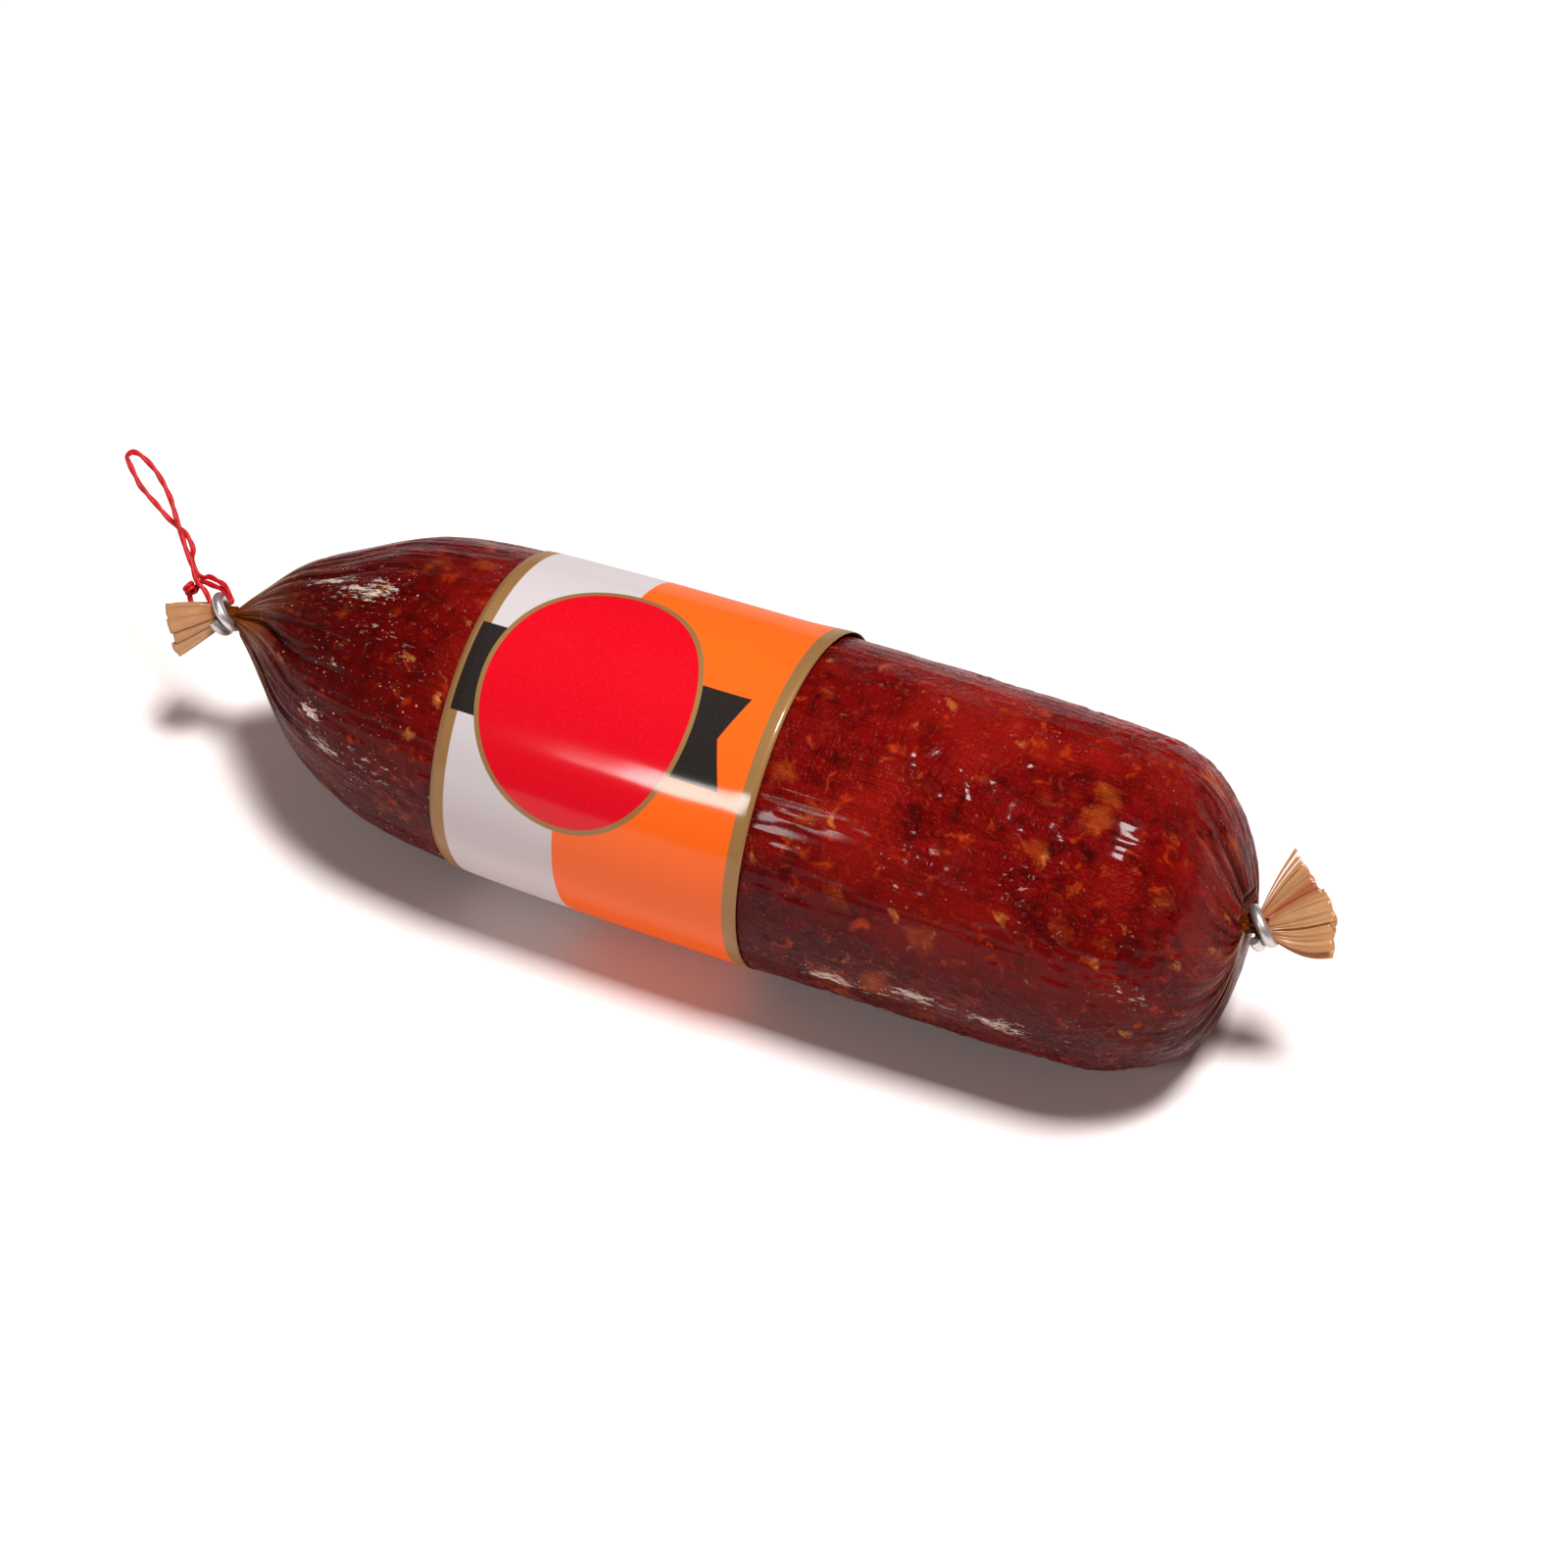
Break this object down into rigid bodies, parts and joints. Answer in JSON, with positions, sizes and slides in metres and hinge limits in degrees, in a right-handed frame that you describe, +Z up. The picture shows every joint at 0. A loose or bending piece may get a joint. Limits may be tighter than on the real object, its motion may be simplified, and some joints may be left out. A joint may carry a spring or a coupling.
{
  "type": "whole salami in casing",
  "caption": "Whole cured salami in a gathered fibrous casing, closed by wire clips, with a printed paper band and a string hanging loop.",
  "frame": {"origin": "on the resting surface, under the middle of the sausage's length and width, without its hanging loop", "axes": "+X along the sausage from the end with the hanging loop to the rounder end, +Z up, the face of the printed band looks up and towards -Y"},
  "size_m": [0.3847, 0.0982, 0.0959],
  "materials": {
    "casing": "glossy dark red casing over cured meat, with orange fat flecks, fine creases and pale bloom",
    "printed_paper": "semi-gloss printed paper: white and orange fields, a red oval on a black ribbon, gold edges",
    "clip_wire": "satin drawn aluminium wire",
    "string": "red twisted string"
  },
  "bodies": {
    "root": {"sausage": "casing", "paper_band": "printed_paper", "clip_loop_end": "clip_wire", "clip_plain_end": "clip_wire", "hanging_loop": "string", "loop_knot": "string"}
  },
  "joints": []
}
